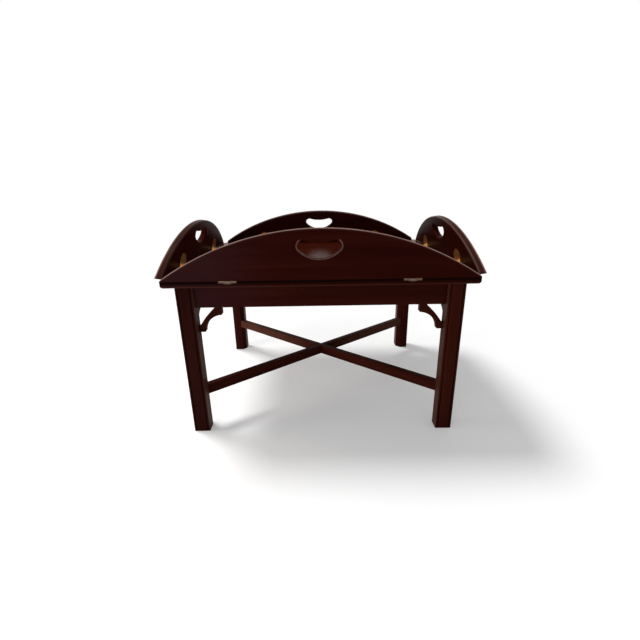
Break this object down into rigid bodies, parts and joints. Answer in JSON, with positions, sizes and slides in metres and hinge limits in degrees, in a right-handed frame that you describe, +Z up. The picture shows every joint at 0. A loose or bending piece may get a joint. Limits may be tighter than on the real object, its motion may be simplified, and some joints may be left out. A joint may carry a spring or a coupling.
{
  "type": "butlers tray table",
  "caption": "Wooden coffee table with a lift-off tray whose hinged, arched leaves stand up as a rim with hand holes or fold out flat, on a stand with crossed stretchers and curved brackets.",
  "frame": {"origin": "on the floor under the centre of the table", "axes": "+X along the length to the right as seen from the front, +Y to the rear, +Z up"},
  "size_m": [0.8196, 0.6456, 0.5767],
  "materials": {
    "mahogany": "dark polished",
    "inner_wood": "plain",
    "brass": "polished",
    "spring_steel": "satin"
  },
  "bodies": {
    "stand": {"apron_front": "mahogany", "apron_left": "mahogany", "apron_rear": "mahogany", "apron_right": "mahogany", "bracket_front_apron_left": "mahogany", "bracket_front_apron_right": "mahogany", "bracket_left_apron_front": "mahogany", "bracket_left_apron_rear": "mahogany", "bracket_rear_apron_left": "mahogany", "bracket_rear_apron_right": "mahogany", "bracket_right_apron_front": "mahogany", "bracket_right_apron_rear": "mahogany", "corner_block_front_left": "inner_wood", "corner_block_front_right": "inner_wood", "corner_block_rear_left": "inner_wood", "corner_block_rear_right": "inner_wood", "leg_front_left": "mahogany", "leg_front_right": "mahogany", "leg_rear_left": "mahogany", "leg_rear_right": "mahogany", "stretcher_lower": "mahogany", "stretcher_upper": "mahogany"},
    "tray": {"hinge_pins": "brass", "hinge_springs": "spring_steel", "tray_cleat_front": "inner_wood", "tray_cleat_left": "inner_wood", "tray_cleat_rear": "inner_wood", "tray_cleat_right": "inner_wood", "tray_hinge_plate_front_1": "brass", "tray_hinge_plate_front_2": "brass", "tray_hinge_plate_left_1": "brass", "tray_hinge_plate_left_2": "brass", "tray_hinge_plate_rear_1": "brass", "tray_hinge_plate_rear_2": "brass", "tray_hinge_plate_right_1": "brass", "tray_hinge_plate_right_2": "brass", "tray_panel": "mahogany", "tray_screws": "brass"},
    "leaf_front": {"leaf_board_front": "mahogany", "leaf_hinge_plate_front_1": "brass", "leaf_hinge_plate_front_2": "brass", "leaf_screws_front": "brass"},
    "leaf_right": {"leaf_board_right": "mahogany", "leaf_hinge_plate_right_1": "brass", "leaf_hinge_plate_right_2": "brass", "leaf_screws_right": "brass"},
    "leaf_rear": {"leaf_board_rear": "mahogany", "leaf_hinge_plate_rear_1": "brass", "leaf_hinge_plate_rear_2": "brass", "leaf_screws_rear": "brass"},
    "leaf_left": {"leaf_board_left": "mahogany", "leaf_hinge_plate_left_1": "brass", "leaf_hinge_plate_left_2": "brass", "leaf_screws_left": "brass"}
  },
  "joints": [
    {"name": "tray_lift", "type": "slide", "parent": "stand", "child": "tray", "axis": [0, 0, 1], "range_m": [0, 0.25]},
    {"name": "leaf_front_hinge", "type": "hinge", "parent": "tray", "child": "leaf_front", "pos_m": [0, -0.3061, 0.4522], "axis": [1, 0, 0], "range_deg": [0, 99]},
    {"name": "leaf_right_hinge", "type": "hinge", "parent": "tray", "child": "leaf_right", "pos_m": [0.3931, 0, 0.4522], "axis": [0, 1, 0], "range_deg": [0, 99]},
    {"name": "leaf_rear_hinge", "type": "hinge", "parent": "tray", "child": "leaf_rear", "pos_m": [0, 0.3061, 0.4522], "axis": [-1, 0, 0], "range_deg": [0, 99]},
    {"name": "leaf_left_hinge", "type": "hinge", "parent": "tray", "child": "leaf_left", "pos_m": [-0.3931, 0, 0.4522], "axis": [0, -1, 0], "range_deg": [0, 99]}
  ]
}
